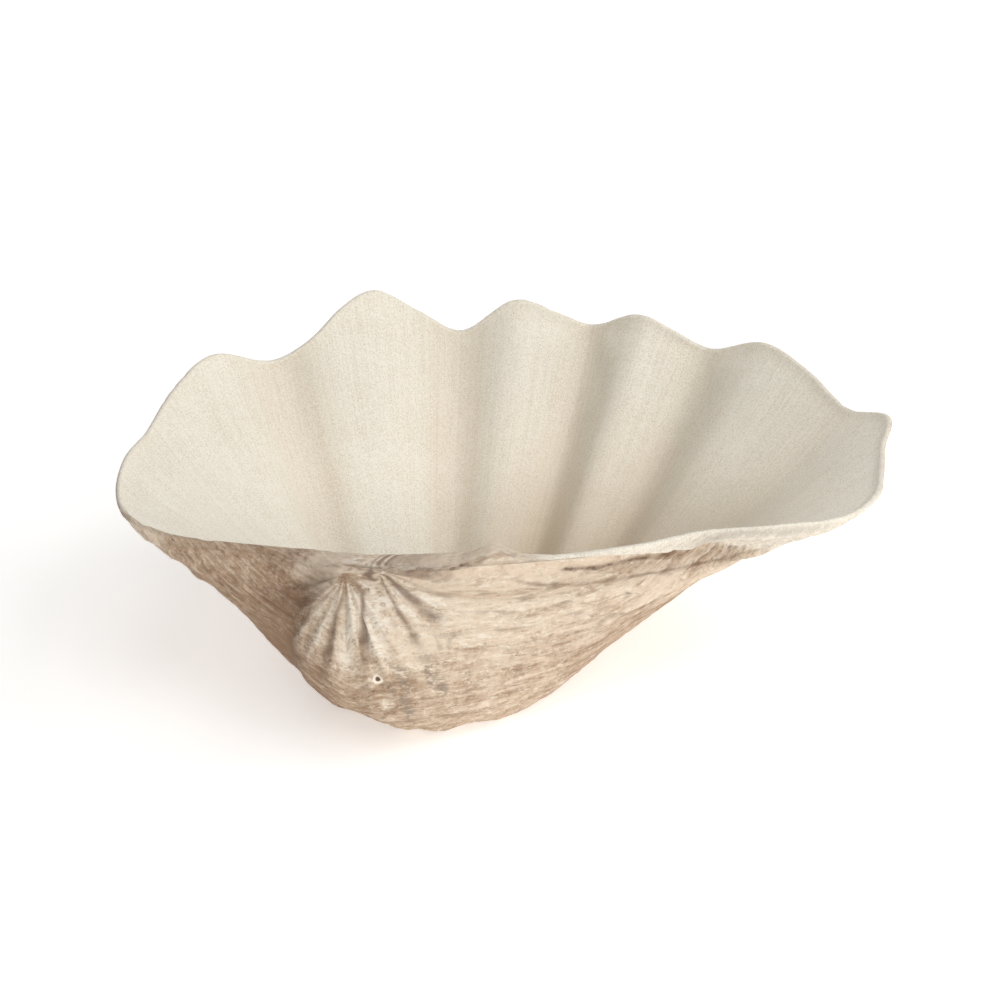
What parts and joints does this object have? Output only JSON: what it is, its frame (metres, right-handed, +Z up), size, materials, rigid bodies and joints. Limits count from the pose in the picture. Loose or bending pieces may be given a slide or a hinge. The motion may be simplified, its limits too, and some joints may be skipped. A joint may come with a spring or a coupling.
{
  "type": "giant clam shell",
  "caption": "Half of a giant clam's shell, a deep folded bowl with a wavy edge, a ribbed umbo at the hinge and a back worn flat to rest on.",
  "frame": {"origin": "middle of the base of the shell's box, on the surface that it rests on", "axes": "+X along the shell's length to the right of the umbo, +Y from the umbo to the folded back edge, +Z up out of the hollow"},
  "size_m": [0.4786, 0.3466, 0.1774],
  "materials": {
    "shell": "matt, chalky cream inside and weathered brown and white outside"
  },
  "bodies": {
    "root": {"clam_shell": "shell"}
  },
  "joints": []
}
